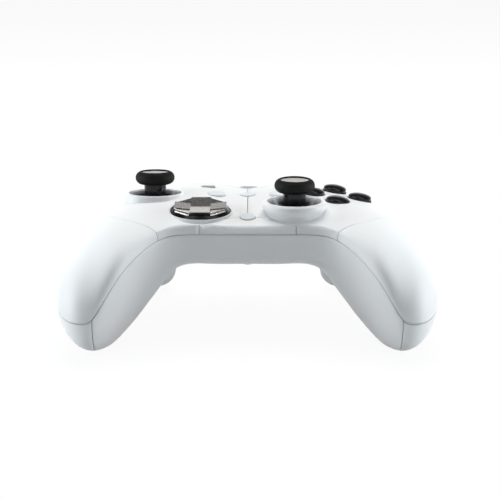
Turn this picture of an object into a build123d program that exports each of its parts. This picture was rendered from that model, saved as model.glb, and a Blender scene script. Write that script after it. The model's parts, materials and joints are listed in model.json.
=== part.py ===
"""Gamepad controller, in millimetres, +Z up, resting on its grip ends and its triggers.

The deck frame carries everything: x runs to the right, v runs away from the player along the
deck, w stands square to the deck, and its zero is the rim of the left stick's well. The deck
frame leans towards the player by deck_tilt. The body is a loft through slices of constant x.
"""

import math
import os

from build123d import *

os.makedirs("parts", exist_ok=True)

# Overall size and stance
half_width = 76.5
grip_reach = 60.2
body_drop = 54.0
deck_tilt = 4.3
deck_height = 50.402
deck_back = 10.47
overrun = 8.0

# Walls and gaps
wall = 2.2
inner_margin = 3.4
seam_gap = 0.24
move_gap = 0.15
run_clearance = 0.05

# Slices of the body as shares: x of half_width, v of grip_reach, w of body_drop.
# Each row: x, crest v w, front ridge v w, lowest v w, back ridge v w
slice_shares = [
    (0.000, 0.565, -0.017, -0.449, -0.211, 0.060, -0.482, 0.664, -0.222),
    (0.196, 0.565, 0.011, -0.449, -0.211, 0.060, -0.482, 0.664, -0.222),
    (0.353, 0.515, 0.012, -0.454, -0.212, 0.040, -0.494, 0.648, -0.228),
    (0.418, 0.465, -0.003, -0.478, -0.220, -0.010, -0.556, 0.631, -0.237),
    (0.471, 0.407, -0.015, -0.530, -0.241, -0.105, -0.656, 0.608, -0.246),
    (0.523, 0.332, -0.028, -0.628, -0.275, -0.233, -0.745, 0.581, -0.257),
    (0.588, 0.249, -0.044, -0.764, -0.343, -0.399, -0.845, 0.548, -0.274),
    (0.654, 0.166, -0.063, -0.890, -0.441, -0.565, -0.928, 0.515, -0.294),
    (0.719, 0.083, -0.094, -0.967, -0.581, -0.698, -0.987, 0.468, -0.322),
    (0.784, 0.000, -0.150, -1.000, -0.720, -0.781, -1.000, 0.402, -0.359),
    (0.850, -0.066, -0.227, -0.990, -0.750, -0.781, -0.982, 0.306, -0.411),
    (0.902, -0.133, -0.306, -0.944, -0.746, -0.764, -0.930, 0.189, -0.463),
    (0.945, -0.199, -0.384, -0.860, -0.733, -0.698, -0.864, 0.050, -0.519),
    (0.976, -0.282, -0.470, -0.751, -0.715, -0.631, -0.796, -0.108, -0.574),
    (0.995, -0.365, -0.570, -0.621, -0.696, -0.565, -0.744, -0.266, -0.630),
    (1.000, -0.412, -0.627, -0.530, -0.683, -0.490, -0.712, -0.345, -0.655),
]
square_until = 26.0
round_from = 46.0
square_handle_shares = (0.96, 0.96, 0.80, 0.80, 0.70, 0.80)
round_handle_shares = (0.50, 0.55, 0.22, 0.30, 0.55, 0.60)

# Control points from crest to front ridge, as shares of v and w from the ridge to the crest:
# bent near the middle of the body, one smooth curve in the grips
bent_front_shares = [
    (1.000, 1.000),
    (0.541, 1.000),
    (0.221, 0.600),
    (0.025, 0.290),
    (0.016, 0.193),
    (0.008, 0.097),
    (0.000, 0.000),
]
smooth_front_shares = [
    (1.000, 1.000),
    (0.502, 1.000),
    (0.142, 0.690),
    (0.034, 0.270),
    (0.012, 0.184),
    (0.000, 0.094),
    (0.000, 0.000),
]
slant_limit = 2.4
slant_until_share = 0.80
narrowing_share = 0.65

# Seams across the deck as (x, v) shares of half_width and grip_reach
grip_seam_shares = [
    (0.451, -0.598),
    (0.478, -0.523),
    (0.549, -0.478),
    (0.627, -0.419),
    (0.693, -0.316),
    (0.745, -0.191),
    (0.797, -0.075),
    (0.863, 0.017),
    (0.941, 0.075),
    (1.046, 0.100),
]
bumper_seam_shares = [
    (0.203, 0.565),
    (0.353, 0.548),
    (0.471, 0.507),
    (0.588, 0.450),
    (0.680, 0.385),
    (0.758, 0.316),
]
front_panel_shares = [(0.052, -0.276), (0.111, -0.312), (0.170, -0.375), (0.256, -0.425), (0.256, -0.700)]
bridge_shares = [(0.196, 0.950), (0.196, 0.640), (0.059, 0.498)]
front_panel_top = -5.0
side_cover_inner = 0.7843 * half_width
bumper_lift = 1.7

# Places on the deck as (x, v) shares of half_width and grip_reach
left_stick_shares = (-0.5216, 0.1993)
right_stick_shares = (0.2536, -0.1910)
pad_shares = (-0.2562, -0.1827)
cluster_shares = (0.4980, 0.1993)
small_button_shares = {
    "view_button": (-0.175, 0.191),
    "menu_button": (0.175, 0.191),
    "centre_button": (0.0, 0.249),
    "lower_button": (0.0, -0.269),
}

# Stick wells and the collars around them
right_stick_lean = 3.3
well_radius = 11.3
well_fit = 0.05
well_top_drop = 0.6
well_depth = 4.4
well_throat = 8.9
well_lip = 0.5
collar_rim = 11.7
collar_depth = 7.6
collar_flanks = {
    "left": [(12.5, -0.7), (13.4, -3.0), (15.2, -6.2)],
    "right": [(13.3, -2.8), (12.0, -5.6)],
}
collar_flank_ends = {"left": (1, -1), "right": (0, -1)}

# Sticks, as radii and as heights along the stick from the rim of its well
stick_pivot_depth = 12.0
cap_radius = 8.4
cap_thickness = 5.5
cap_top = 9.2
cap_lip = 1.2
cap_rim = 0.3
cap_shoulder = 0.9
cap_disc_radius = 6.0
cap_disc_recess = 0.7
cap_disc_thickness = 0.9
stem_radius = 4.7
stem_neck = -0.8
stem_flare = 6.2
dome_radius = 10.0
dome_wall = 1.0
dome_reach = 5.0
shaft_radius = 1.1
saddle_side = 4.6
yoke_side = 8.6
yoke_thickness = 2.6
yoke_wall = 1.3
axle_radius = 0.7
module_side = 12.0
module_wall = 1.2
module_top = 1.5
module_depth = 6.6

# Direction pad
pad_lean = 7.4
pad_drop = 4.4
pad_gap = 0.5
pad_base_radius = 12.2
pad_base_ring = 10.9
pad_base_top = 1.3
pad_base_edge = 0.1
pad_base_depth = 3.5
pad_ledge_top = 0.1
pad_ledge_radius = 13.0
pad_ledge_foot = 14.3
pad_ledge_height = 2.4
pad_dish_radius = 10.8
pad_dish_thickness = 1.5
pad_dish_rim = 0.9
pad_dish_floor = 0.5
pad_dish_taper = 40.0
pad_dish_turn = 22.5
pad_arm = 8.3
pad_arm_rise = 0.9
pad_pivot_depth = 5.0
pad_lug = 1.5
pad_lug_radius = 1.3
pad_stub = 1.2
pad_rocker = 4.4
pad_rocker_height = 2.2
pad_post = 1.6
pad_post_gap = 0.3
pad_post_width = 3.0
pad_post_head = 1.0

# Face buttons
cluster_drop = 2.1
cluster_roll = 7.2
cluster_lean = 5.4
cluster_spacing = 10.2
face_cap_radius = 4.95
face_cap_top = 2.9
face_dome = 0.8
face_edge = 0.5
face_skirt_radius = 5.3
face_skirt_top = 0.5
face_flange_radius = 6.0
face_flange_depth = 4.9
face_flange = 0.8
face_stem_radius = 3.0
face_stem_depth = 6.2
face_travel = 1.2
rubber_radius = 3.6

# Small buttons
small_radii = {"view_button": 4.0, "menu_button": 4.0, "centre_button": 3.3, "lower_button": 3.2}
small_drops = {"view_button": 2.05, "menu_button": 2.05, "centre_button": 2.95, "lower_button": 7.3}
small_leans = {"view_button": 5.0, "menu_button": 5.0, "centre_button": 4.7, "lower_button": 15.5}
small_rise = 1.9
small_height = 4.2
small_round = 0.5
small_stem_radius = 1.6
small_stem = 0.8
home_place = (0.0, 34.6, -1.55)
home_lean = -14.0
home_radius = 4.6
home_rise = 0.7
home_height = 4.0
key_place = (-17.3, 24.3, 0.1)
key_lean = -1.0
key_width = 5.9
key_depth = 3.4
key_rise = 1.0
key_height = 4.6

# Boards, frame and battery, as levels in the deck frame
board_thickness = 1.2
control_board_top = -11.5
control_front = -0.3322 * grip_reach
control_back = 0.4817 * grip_reach
control_half_width = 0.6144 * half_width
dome_clearance = 0.9
main_board_top = -0.3519 * body_drop
board_half_width = 0.5882 * half_width
board_back = 0.6146 * grip_reach
frame_thickness = 1.6
frame_half_width = 0.6013 * half_width
frame_middle = 0.3791 * half_width
frame_front = -0.2824 * grip_reach
frame_back = 0.4651 * grip_reach
post_radius = 2.2
post_height = control_board_top - main_board_top
post_place_shares = [(-0.3529, -0.2824), (0.0654, -0.2824), (-0.2484, 0.4286), (0.2484, 0.4286)]
battery_width = 44.0
battery_depth = 26.0
battery_thickness = 5.2
battery_round = 2.0
battery_place = (-3.0, 10.0)

# Screws and their bosses
screw_place_shares = [(-0.3791, -0.1993), (0.3791, -0.1993), (-0.3529, 0.4252), (0.3529, 0.4252)]
screw_radius = 1.1
screw_head_radius = 2.3
screw_head = 1.6
screw_seat = -0.463 * body_drop
boss_radius = 3.4
boss_top = main_board_top - board_thickness - frame_thickness
boss_height = 3.0
ear_radius = 2.6

# Battery cover, charging socket and the nub below the front edge
cover_width = 46.0
cover_depth = 30.0
cover_thickness = 2.4
cover_place = (0.0, 8.0)
cover_bottom = -0.4926 * body_drop
cover_corner = 4.0
cover_round = 0.6
socket_width = 9.0
socket_height = 3.2
socket_depth = 7.5
socket_wall = 0.35
socket_mouth = 39.4
socket_blade_width = 5.8
socket_blade = 0.7
nub_radius = 1.7
nub_place = (0.0, -18.5)
nub_bottom = -25.2
nub_rise = 2.4

# Rumble motors, their eccentric weights and the cradles below them
motor_radius = 8.0
motor_length = 11.0
motor_place = (0.6993 * half_width, -0.4983 * grip_reach, -0.5833 * body_drop)
motor_shaft_radius = 1.0
weight_radius = 7.4
weight_thickness = 5.0
weight_gap = 0.8
cradle_thickness = 5.0
cradle_width = 14.0
cradle_depth = 19.0

# Triggers: their ends in x, and their side view as (v, w) points
trigger_inner = 0.4288 * half_width
trigger_outer = 0.732 * half_width
trigger_corner = 9.0
trigger_bottom = -47.4
trigger_top_drop = -1.6
trigger_wall = 1.8
trigger_gap = 0.5
trigger_back_face = [(31.0, -12.5), (38.0, -12.8), (42.0, -16.0), (44.2, -26.0), (43.6, -38.0), (41.0, -47.4)]
trigger_front_face = [(38.4, -47.4), (36.0, -42.0), (33.6, -35.0), (31.0, -30.5), (27.5, -28.2)]
trigger_hook = [(28.3, -21.0), (28.6, -16.0)]
pocket_back = [(31.0, -14.6), (37.6, -15.2), (40.2, -18.6), (42.2, -26.0), (41.6, -36.0), (39.6, -43.0)]
pocket_front = [(38.4, -43.0), (35.8, -35.6), (32.8, -30.6), (29.8, -27.6), (25.0, -26.4)]
pocket_mouth = [(25.0, -21.6), (31.0, -21.0)]
trigger_opening_front = 22.4
trigger_opening_top = -9.0

# Trigger pivots, brackets and springs
trigger_pivot = (25.0, -17.5)
trigger_axle_radius = 1.2
trigger_hub = (0.4549 * half_width, 0.5673 * half_width)
trigger_hub_radius = 2.6
trigger_arm_length = 5.0
trigger_arm_height = 4.2
bracket_sides = (0.4235 * half_width, 0.6222 * half_width)
bracket_plate = 2.0
bracket_front = 18.8
bracket_web = 1.6
bracket_top = -14.6
bracket_bottom = -20.2
spring_radius = 2.2
spring_wire = 0.7

deck = Plane(
    origin=(0, deck_back, deck_height),
    x_dir=(1, 0, 0),
    z_dir=(0, math.sin(math.radians(deck_tilt)), math.cos(math.radians(deck_tilt))),
)


def deck_plane(x, v, w, lean=0.0, roll=0.0):
    """A plane at a deck place, leaned towards the player and rolled to the right."""
    return Plane(deck.location * Location((x, v, w), (lean, roll, 0)))


def slice_plane(x):
    """A plane of constant x whose own x runs along v and whose own y runs along w."""
    return Plane(origin=deck.from_local_coords((x, 0, 0)), x_dir=deck.y_dir, z_dir=(1, 0, 0))


def place(shares):
    """Deck x and v of a place given as shares."""
    return shares[0] * half_width, shares[1] * grip_reach


def slice_sizes(row):
    """A slice row as real lengths: x, then v and w of its four turning points."""
    x, *pairs = row
    lengths = [share * (body_drop if i % 2 else grip_reach) for i, share in enumerate(pairs)]
    return [x * half_width, *lengths]


def roundness(x):
    """How far a slice is on the way from the square middle to the round grips."""
    step = min(max((x - square_until) / (round_from - square_until), 0), 1)
    return step * step * (3 - 2 * step)


def handle_lengths(x):
    """Bezier handle shares at a slice, square near the middle and round in the grips."""
    blend = roundness(x)
    pairs = zip(square_handle_shares, round_handle_shares)
    return [square * (1 - blend) + round_ * blend for square, round_ in pairs]


def front_points(x, crest_v, crest_w, front_v, front_w):
    """Control points of a slice's upper front, from the crest over the bend to the front ridge."""
    blend = roundness(x)
    points = []
    for bent, smooth in zip(bent_front_shares, smooth_front_shares):
        along = bent[0] * (1 - blend) + smooth[0] * blend
        up = bent[1] * (1 - blend) + smooth[1] * blend
        points.append((front_v + (crest_v - front_v) * along, front_w + (crest_w - front_w) * up))
    return points


def slant(column, index):
    """How much longer an inset along v or w is than the wall square to the surface."""
    rows = [slice_sizes(row) for row in slice_shares]
    before = rows[max(index - 1, 0)]
    after = rows[min(index + 1, len(rows) - 1)]
    if rows[index][0] > slant_until_share * half_width:
        return 1
    return min(math.hypot(1, (after[column] - before[column]) / (after[0] - before[0])), slant_limit)


def inset_sizes(index, inset):
    """Slice sizes moved inwards by a wall."""
    sizes = slice_sizes(slice_shares[index])
    x, crest_v, crest_w, front_v, front_w, low_v, low_w, back_v, back_w = sizes
    ramp = max((x / half_width - narrowing_share) / (1 - narrowing_share), 0)
    return [
        x - inset * ramp,
        crest_v,
        crest_w - inset,
        front_v + inset * slant(3, index),
        front_w,
        low_v,
        low_w + inset * slant(6, index),
        back_v - inset,
        back_w,
    ]


def slice_outline(side, sizes, half, reach):
    """One slice's upper or lower half, closed at the parting line or a reach past it."""
    x, crest_v, crest_w, front_v, front_w, low_v, low_w, back_v, back_w = sizes
    c, d, e, f, g, h = handle_lengths(x)
    over_front = front_points(x, crest_v, crest_w, front_v, front_w)
    with BuildSketch(slice_plane(side * x)) as outline:
        with BuildLine():
            if half == "upper":
                Bezier(*over_front[:4])
                Bezier(*over_front[3:])
            if half == "lower":
                Bezier(
                    (front_v, front_w),
                    (front_v, front_w + (low_w - front_w) * c),
                    (low_v + (front_v - low_v) * d, low_w),
                    (low_v, low_w),
                )
                Bezier(
                    (low_v, low_w),
                    (low_v + (back_v - low_v) * e, low_w),
                    (back_v, back_w + (low_w - back_w) * f),
                    (back_v, back_w),
                )
            if half == "upper":
                Bezier(
                    (back_v, back_w),
                    (back_v, back_w + (crest_w - back_w) * g),
                    (crest_v + (back_v - crest_v) * h, crest_w),
                    (crest_v, crest_w),
                )
            past = reach if half == "lower" else -reach
            if reach:
                Line((back_v, back_w), (back_v, back_w + past))
                Line((front_v, front_w + past), (front_v, front_w))
            Line((back_v, back_w + past), (front_v, front_w + past))
        make_face()
    return outline.sketch.face()


def body_half(half, inset=0.0, drop=0.0, reach=0.0, left_out=0):
    """The upper or lower half of the body, drawn in by a wall, its parting line lowered by drop."""
    count = len(slice_shares) - left_out
    sides = [(-1, i) for i in reversed(range(count))] + [(1, i) for i in range(1, count)]
    faces = []
    for side, i in sides:
        sizes = inset_sizes(i, inset)
        sizes[4] -= drop
        sizes[8] -= drop
        faces.append(slice_outline(side, sizes, half, reach))
    with BuildPart() as body:
        loft(sections=faces)
    return body.part


def finish_part(solid, name):
    """Label a sub-part and write it."""
    solid.label = name
    export_step(solid, f"parts/{name}.step")


left_x, left_v = place(left_stick_shares)
right_x, right_v = place(right_stick_shares)
pad_x, pad_v = place(pad_shares)
cluster_x, cluster_v = place(cluster_shares)
side_names = {-1: "left", 1: "right"}
stick_planes = {
    "left": deck_plane(left_x, left_v, 0),
    "right": deck_plane(right_x, right_v, 0, lean=right_stick_lean),
}
pad_plane = deck_plane(pad_x, pad_v, -pad_drop, lean=pad_lean)
cluster_plane = deck_plane(cluster_x, cluster_v, -cluster_drop, lean=cluster_lean, roll=cluster_roll)
face_spots = {
    "west": (-cluster_spacing, 0),
    "east": (cluster_spacing, 0),
    "north": (0, cluster_spacing),
    "south": (0, -cluster_spacing),
}
small_planes = {
    name: deck_plane(*place(shares), -small_drops[name], lean=small_leans[name])
    for name, shares in small_button_shares.items()
}
home_plane = deck_plane(*home_place, lean=home_lean)
socket_centre = main_board_top + socket_height / 2
socket_plane = Plane(
    origin=deck.from_local_coords((0, socket_mouth, socket_centre)), x_dir=deck.x_dir, z_dir=deck.y_dir
)
key_plane = deck_plane(*key_place, lean=key_lean)

upper_form = body_half("upper")
lower_form = body_half("lower", drop=seam_gap)
upper_cavity = body_half("upper", inset=wall, reach=overrun, left_out=1)
lower_cavity = body_half("lower", inset=wall, reach=overrun, left_out=1)

# The upper form with a collar around each stick's well and a ledge around the direction pad,
# hollowed by the cavity
with BuildPart() as upper_skin:
    add(upper_form)
    for side_name, stick_plane in stick_planes.items():
        flank = collar_flanks[side_name]
        flank_tangents = [(1, 0), collar_flank_ends[side_name]]
        with BuildSketch(Plane(stick_plane.origin, x_dir=stick_plane.x_dir, z_dir=-stick_plane.y_dir)):
            with BuildLine():
                Line((0, 0), (collar_rim, 0))
                Spline((collar_rim, 0), *flank, tangents=flank_tangents)
                Polyline(flank[-1], (flank[-1][0], -collar_depth), (0, -collar_depth), (0, 0))
            make_face()
        revolve(axis=Axis(stick_plane.origin, stick_plane.z_dir))
    with BuildSketch(Plane(pad_plane.origin, x_dir=pad_plane.x_dir, z_dir=-pad_plane.y_dir)):
        with BuildLine():
            Polyline(
                (0, pad_ledge_top),
                (pad_ledge_radius, pad_ledge_top),
                (pad_ledge_foot, pad_ledge_top - pad_ledge_height),
                (0, pad_ledge_top - pad_ledge_height),
                close=True,
            )
        make_face()
    revolve(axis=Axis(pad_plane.origin, pad_plane.z_dir))
    add(upper_cavity, mode=Mode.SUBTRACT)

with BuildPart() as lower_skin:
    add(lower_form)
    add(lower_cavity, mode=Mode.SUBTRACT)


def long_column(region, mode):
    """Run a deck region through the whole body."""
    with BuildSketch(deck) as section:
        add(region)
    extrude(section.sketch, amount=2 * body_drop, both=True, mode=mode)


def side_points(shares, side, inwards=0.0, backwards=0.0):
    """Real deck points of a list of shares on one side, moved by a gap."""
    return [(side * (x * half_width - inwards), v * grip_reach + backwards) for x, v in shares]


def grip_region(side, gap=0.0):
    """What lies outside the curved seam across a grip, the seam moved inwards by a gap."""
    points = side_points(grip_seam_shares, side, inwards=gap, backwards=gap)
    with BuildSketch() as region:
        with BuildLine():
            Spline(*points)
            far = side * (half_width + overrun)
            near_end = (points[0][0], -grip_reach - overrun)
            Polyline(points[-1], (far, points[-1][1]), (far, near_end[1]), near_end, points[0])
        make_face()
    return region.sketch


def bumper_region(side, gap=0.0):
    """The strip along the back edge that a bumper fills, widened by a gap."""
    points = side_points(bumper_seam_shares, side, backwards=-gap)
    points[0] = (points[0][0] - side * gap, points[0][1])
    points[-1] = (points[-1][0] + side * gap, points[-1][1])
    back = grip_reach
    with BuildSketch() as region:
        with BuildLine():
            Spline(*points)
            Polyline(points[-1], (points[-1][0], back), (points[0][0], back), points[0])
        make_face()
    return region.sketch


def outline_region(shares):
    """A region that is symmetric about the centre line, from the points of its right side."""
    right_side = side_points(shares, 1)
    left_side = [(-x, v) for x, v in reversed(right_side)]
    with BuildSketch() as region:
        with BuildLine():
            Polyline(*right_side, *left_side, close=True)
        make_face()
    return region.sketch


def grown(region, gap):
    """A region widened by a gap on every side."""
    with BuildSketch() as wider:
        add(region)
        if gap:
            offset(amount=gap, kind=Kind.INTERSECTION)
    return wider.sketch


def bumper_floor(inner, outer):
    """Points (x, w) along the lower edge of the right bumper, from one x to another."""
    rows = [slice_sizes(row) for row in slice_shares]
    points = []
    for before, after in zip(rows, rows[1:]):
        for x in (inner, after[0], outer):
            if before[0] < x <= after[0] and inner <= x <= outer:
                step = (x - before[0]) / (after[0] - before[0])
                points.append((x, before[8] + (after[8] - before[8]) * step + bumper_lift))
    return points


def under_bumper(side):
    """What is cut away below a bumper, so that it can press down."""
    inner = bumper_seam_shares[0][0] * half_width - overrun
    outer = bumper_seam_shares[-1][0] * half_width + overrun
    ridge = [(side * x, w) for x, w in bumper_floor(inner, outer)]
    low = -body_drop
    with BuildPart() as block:
        with BuildSketch(Plane(deck.origin, x_dir=deck.x_dir, z_dir=-deck.y_dir)):
            with BuildLine():
                Polyline(*ridge, (ridge[-1][0], low), (ridge[0][0], low), close=True)
            make_face()
        extrude(amount=-grip_reach)
    return block.part


front_region = outline_region(front_panel_shares)
bridge_region = outline_region(bridge_shares)


def front_column(gap):
    """The column of the front centre panel, widened by a gap."""
    with BuildPart() as column:
        with BuildSketch(deck.offset(front_panel_top + gap)):
            add(grown(front_region, gap))
        extrude(amount=-body_drop)
    return column.part


# Grip panels and bumpers
for side, side_name in side_names.items():
    with BuildPart() as grip_panel:
        add(upper_skin.part)
        long_column(grip_region(side), Mode.INTERSECT)
    finish_part(grip_panel.part, f"{side_name}_grip_panel")

    with BuildPart() as bumper:
        add(upper_skin.part)
        long_column(bumper_region(side), Mode.INTERSECT)
        add(under_bumper(side), mode=Mode.SUBTRACT)
    finish_part(bumper.part, f"{side_name}_bumper")

# Front centre panel and top bridge with the home button's hole
with BuildPart() as front_panel:
    add(upper_skin.part)
    add(front_column(0), mode=Mode.INTERSECT)
    with BuildSketch(small_planes["lower_button"]):
        Circle(small_radii["lower_button"] + move_gap)
    extrude(amount=overrun, both=True, mode=Mode.SUBTRACT)
finish_part(front_panel.part, "front_centre_panel")

with BuildPart() as top_bridge:
    add(upper_skin.part)
    long_column(bridge_region, Mode.INTERSECT)
    with BuildSketch(home_plane):
        Circle(home_radius + move_gap)
    extrude(amount=overrun, both=True, mode=Mode.SUBTRACT)
finish_part(top_bridge.part, "top_bridge")

# Faceplates with every opening of the deck
for side, side_name in side_names.items():
    with BuildPart() as faceplate:
        add(upper_skin.part)
        with BuildSketch(deck):
            with Locations((side * (half_width + seam_gap / 2), 0)):
                Rectangle(2 * half_width, 4 * grip_reach)
        extrude(amount=2 * body_drop, both=True, mode=Mode.INTERSECT)
        long_column(grip_region(side, seam_gap), Mode.SUBTRACT)
        long_column(bumper_region(side, 2 * move_gap), Mode.SUBTRACT)
        add(front_column(seam_gap), mode=Mode.SUBTRACT)
        long_column(grown(bridge_region, seam_gap), Mode.SUBTRACT)
        with BuildSketch(stick_planes[side_name]):
            Circle(well_radius)
        extrude(amount=2 * overrun, both=True, mode=Mode.SUBTRACT)
        for name, plane in small_planes.items():
            with BuildSketch(plane):
                Circle(small_radii[name] + move_gap)
            extrude(amount=overrun, both=True, mode=Mode.SUBTRACT)
        with BuildSketch(home_plane):
            Circle(home_radius + move_gap)
        extrude(amount=overrun, both=True, mode=Mode.SUBTRACT)
        if side_name == "left":
            with BuildSketch(pad_plane):
                Circle(pad_base_radius + pad_gap)
            extrude(amount=overrun, both=True, mode=Mode.SUBTRACT)
            with BuildSketch(key_plane):
                Rectangle(key_width + 2 * move_gap, key_depth + 2 * move_gap)
            extrude(amount=overrun, both=True, mode=Mode.SUBTRACT)
        else:
            with BuildSketch(cluster_plane):
                with Locations(*face_spots.values()):
                    Circle(face_skirt_radius + move_gap)
            extrude(amount=overrun, both=True, mode=Mode.SUBTRACT)
    finish_part(faceplate.part, f"{side_name}_faceplate")

# Side covers under the outer half of each grip
for side, side_name in side_names.items():
    with BuildPart() as side_cover:
        add(lower_skin.part)
        with BuildSketch(deck):
            with Locations((side * (side_cover_inner + half_width), 0)):
                Rectangle(2 * half_width, 4 * grip_reach)
        extrude(amount=2 * body_drop, both=True, mode=Mode.INTERSECT)
    finish_part(side_cover.part, f"{side_name}_side_cover")


def opening_block(side):
    """The opening behind which a trigger hangs and swings."""
    with BuildPart() as block:
        with BuildSketch(slice_plane(side * (trigger_inner - trigger_gap))):
            with BuildLine():
                Polyline(
                    (trigger_opening_front, trigger_opening_top),
                    (trigger_opening_front, trigger_bottom),
                    (grip_reach, trigger_bottom),
                    (grip_reach, trigger_opening_top),
                    close=True,
                )
            make_face()
        extrude(amount=side * (trigger_outer - trigger_inner + 2 * trigger_gap))
    return block.part


def motor_cradle(side):
    """The rib that carries a rumble motor from below."""
    with BuildPart() as cradle:
        with BuildSketch(slice_plane(side * (motor_x - cradle_thickness / 2))):
            with Locations((motor_v, motor_w - cradle_depth / 2)):
                Rectangle(cradle_width, cradle_depth)
        extrude(amount=side * cradle_thickness)
        add(lower_cavity, mode=Mode.INTERSECT)
        with BuildSketch(slice_plane(side * (motor_x - motor_length))):
            with Locations((motor_v, motor_w)):
                Circle(motor_radius)
        extrude(amount=side * 2 * motor_length, mode=Mode.SUBTRACT)
    return cradle.part


def trigger_front_outline(side, inset=0.0):
    """A trigger seen from the front, extruded through it: rounded below, sloping above."""
    inner = trigger_inner + inset
    outer = trigger_outer - inset
    top = [(x, row_w + trigger_top_drop - inset) for x, row_w in bumper_floor(inner, outer)]
    with BuildPart() as block:
        with BuildSketch(Plane(deck.origin, x_dir=deck.x_dir, z_dir=-deck.y_dir)) as outline:
            with BuildLine():
                Polyline(
                    *[(side * x, w) for x, w in top],
                    (side * outer, trigger_bottom + inset),
                    (side * inner, trigger_bottom + inset),
                    close=True,
                )
            make_face()
            fillet(outline.vertices().group_by(Axis.Y)[0], trigger_corner - inset)
        extrude(amount=-grip_reach)
    return block.part


motor_x, motor_v, motor_w = motor_place
cover_plane = deck_plane(*cover_place, cover_bottom)

# Lower shell with the openings for the triggers, the battery cover, the socket and the screws
with BuildPart() as lower_shell:
    add(lower_skin.part)
    with BuildSketch(deck):
        Rectangle(2 * (side_cover_inner - seam_gap), 4 * grip_reach)
    extrude(amount=2 * body_drop, both=True, mode=Mode.INTERSECT)
    for shares in screw_place_shares:
        with BuildSketch(deck_plane(*place(shares), boss_top)):
            Circle(boss_radius)
        extrude(amount=-boss_height)
    for side in side_names:
        add(opening_block(side), mode=Mode.SUBTRACT)
        add(motor_cradle(side))
    with BuildSketch(cover_plane):
        RectangleRounded(cover_width + 2 * seam_gap, cover_depth + 2 * seam_gap, cover_corner)
    extrude(amount=overrun, both=True, mode=Mode.SUBTRACT)
    with BuildSketch(socket_plane):
        RectangleRounded(
            socket_width + 2 * move_gap,
            socket_height + 2 * move_gap,
            socket_height / 2,
        )
    extrude(amount=2 * overrun, both=True, mode=Mode.SUBTRACT)
    for shares in screw_place_shares:
        with BuildSketch(deck_plane(*place(shares), boss_top)):
            Circle(screw_radius + run_clearance)
        extrude(amount=2 * overrun, both=True, mode=Mode.SUBTRACT)
        with BuildSketch(deck_plane(*place(shares), screw_seat)):
            Circle(screw_head_radius + run_clearance)
        extrude(amount=-2 * overrun, mode=Mode.SUBTRACT)
    with BuildSketch(deck_plane(*nub_place, nub_bottom)):
        Circle(nub_radius)
    extrude(amount=nub_rise)
finish_part(lower_shell.part, "lower_shell")

# Battery cover, flat outside
with BuildPart() as battery_cover:
    with BuildSketch(cover_plane):
        RectangleRounded(cover_width, cover_depth, cover_corner)
    extrude(amount=cover_thickness)
    fillet(battery_cover.edges().group_by(Axis(deck.origin, deck.z_dir))[0], cover_round)
finish_part(battery_cover.part, "battery_cover")


def rod(plane, radius, start, length):
    """A round rod that stands on a plane, from a start along its normal."""
    with BuildPart() as pin:
        with BuildSketch(plane.offset(start)):
            Circle(radius)
        extrude(amount=length)
    return pin.part


def side_plane(plane, depth, along_x):
    """A plane at a depth below another one, its normal along that plane's x or y."""
    origin = plane.from_local_coords((0, 0, -depth))
    if along_x:
        return Plane(origin=origin, x_dir=plane.y_dir, z_dir=plane.x_dir)
    return Plane(origin=origin, x_dir=plane.x_dir, z_dir=-plane.y_dir)


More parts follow.
